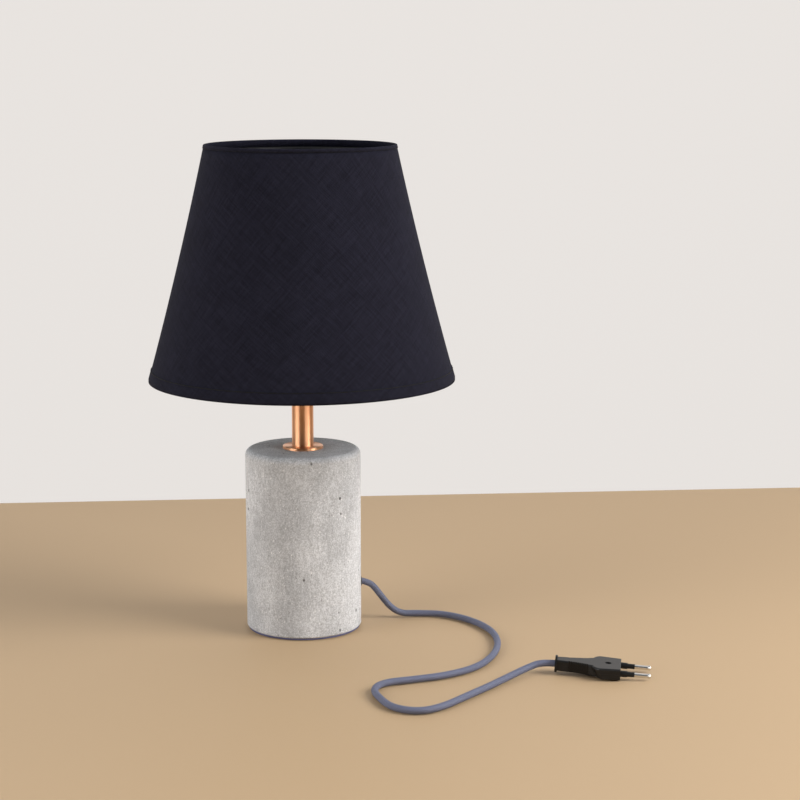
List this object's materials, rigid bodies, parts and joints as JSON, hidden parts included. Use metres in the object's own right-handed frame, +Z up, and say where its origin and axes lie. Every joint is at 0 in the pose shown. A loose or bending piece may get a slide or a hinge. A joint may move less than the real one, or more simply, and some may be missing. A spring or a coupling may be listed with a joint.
{
  "type": "table lamp",
  "caption": "Small table lamp with a cast concrete drum base, short copper stem, dark tapered cloth shade and a braided mains cord with plug.",
  "frame": {"origin": "on the surface the lamp stands on, at the middle of the felt pad, on the lamp's axis", "axes": "+Z up along the stem; the cord leaves the base 11.5 degrees from +X towards +Y; the switch knob points along +X"},
  "size_m": [0.331, 0.3048, 0.3362],
  "materials": {
    "felt": "matt felt",
    "concrete": "matt cast concrete",
    "zinc_steel": "zinc plated",
    "copper": "satin copper",
    "black_rubber": "matt",
    "black_plastic": "matt moulded",
    "cord_braid": "braided textile",
    "ceramic": "unglazed",
    "contact_brass": "bright",
    "lead_brown": "smooth",
    "lead_blue": "smooth",
    "nickel": "bright nickel plate",
    "plug_plastic": "moulded, half gloss",
    "black_wire": "black lacquer",
    "shade_lining": "dark smooth lining",
    "shade_cloth": "matt slub linen",
    "opal_glass": "opal",
    "white_plastic": "smooth",
    "circuit_board": "lacquered board",
    "light_plate": "plain"
  },
  "bodies": {
    "root": {"felt_pad": "felt", "base_block": "concrete", "base_nut": "zinc_steel", "base_washer": "zinc_steel", "threaded_rod": "zinc_steel", "stem_flange": "copper", "stem_tube": "copper", "cord_grommet": "black_rubber", "cord_stop_lower": "black_plastic", "cord_stop_upper": "black_plastic", "cord_stop_screws": "zinc_steel", "inner_cord": "cord_braid", "holder_cap": "black_plastic", "cap_grub_screw": "zinc_steel", "holder_insert": "ceramic", "terminal_screws": "contact_brass", "lead_live": "lead_brown", "lead_neutral": "lead_blue", "holder_shell": "black_plastic", "screw_sleeve": "contact_brass", "centre_contact": "contact_brass", "side_contact": "contact_brass", "switch_bush": "nickel", "switch_leaves": "contact_brass", "mains_cord": "cord_braid", "plug_body_upper": "plug_plastic", "plug_body_lower": "plug_plastic", "plug_screw": "zinc_steel", "plug_pins": "nickel", "pin_sleeves": "plug_plastic", "plug_cores": "lead_brown"},
    "switch": {"switch_knob": "black_plastic", "switch_shaft": "zinc_steel", "switch_cam": "ceramic"},
    "clamp_ring": {"shade_ring": "black_plastic"},
    "shade": {"fitter_ring": "black_wire", "spider_arms": "black_wire", "lower_wire": "black_wire", "upper_wire": "black_wire", "shade_liner": "shade_lining", "shade_cover": "shade_cloth", "lower_hem": "shade_cloth", "upper_hem": "shade_cloth", "side_seam": "shade_cloth"},
    "bulb": {"bulb_globe": "opal_glass", "bulb_collar": "white_plastic", "bulb_cap": "nickel", "bulb_insulator": "black_plastic", "bulb_tip": "nickel", "bulb_driver": "circuit_board", "bulb_light_plate": "light_plate", "bulb_chips": "white_plastic"}
  },
  "joints": [
    {"name": "switch_turn", "type": "hinge", "parent": "root", "child": "switch", "pos_m": [0.03, 0, 0.185], "axis": [1, 0, 0], "continuous": true},
    {"name": "ring_lift", "type": "slide", "parent": "root", "child": "clamp_ring", "axis": [0, 0, 1], "range_m": [0, 0.2]},
    {"name": "shade_turn", "type": "hinge", "parent": "clamp_ring", "child": "shade", "pos_m": [0, 0, 0.202], "axis": [0, 0, 1], "continuous": true},
    {"name": "bulb_lift", "type": "slide", "parent": "root", "child": "bulb", "axis": [0, 0, 1], "range_m": [0, 0.16]}
  ]
}
